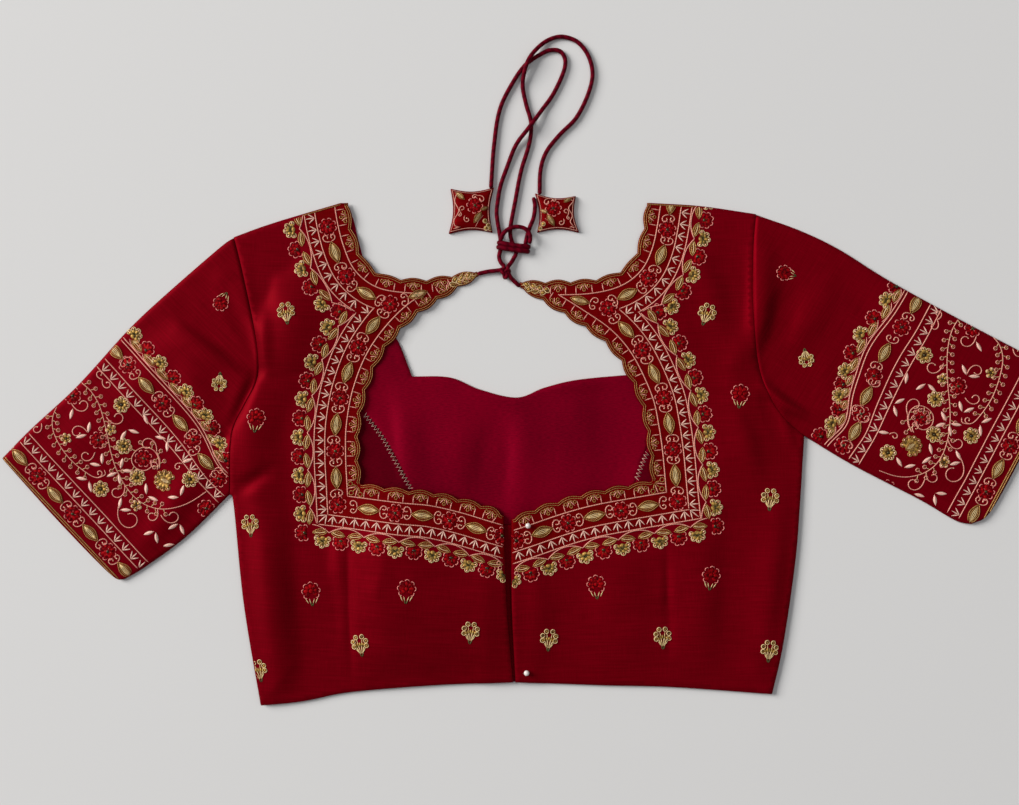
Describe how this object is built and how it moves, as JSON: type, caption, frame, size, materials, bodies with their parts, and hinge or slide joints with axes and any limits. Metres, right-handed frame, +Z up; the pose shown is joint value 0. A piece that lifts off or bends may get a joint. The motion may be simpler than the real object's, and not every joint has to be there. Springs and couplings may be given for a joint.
{
  "type": "choli blouse with a keyhole back and tie cords",
  "caption": "Short cropped blouse laid flat, back up: keyhole back with a scalloped embroidered border, neck ties with square tassels, elbow sleeves.",
  "frame": {"origin": "middle of the blouse's length and width, on the surface it lies on; the tie cords and what is on them are not counted", "axes": "+X towards the right sleeve as seen from above, +Y from the hem towards the neck, +Z up out of the back"},
  "size_m": [0.7944, 0.5017, 0.009],
  "materials": {
    "crimson_silk": "raw silk with a satin sheen, embroidered in gold and pink thread with beads and sequins",
    "wine_lining": "plain satin-weave lining",
    "wine_cord": "round rolled satin cord",
    "gold_thread": "metallic couched thread",
    "gold_bead": "small cut metal beads",
    "sequin": "glossy sequins and glass beads",
    "pearl": "pearl-coated pin head"
  },
  "bodies": {
    "root": {"front_centre": "wine_lining", "front_side_left": "wine_lining", "front_side_right": "wine_lining", "back_left": "crimson_silk", "back_right": "crimson_silk", "back_placket": "crimson_silk", "sleeve_left": "crimson_silk", "sleeve_right": "crimson_silk", "cord_left_lower": "wine_cord", "cord_left": "wine_cord", "cord_right_lower": "wine_cord", "cord_right": "wine_cord", "cord_tail": "wine_cord", "cord_ring": "wine_cord", "cord_knot": "wine_cord", "cord_keeper": "wine_cord", "tassel_left": "crimson_silk", "tassel_right": "crimson_silk", "pin_head_top": "pearl", "pin_head_bottom": "pearl"}
  },
  "joints": []
}
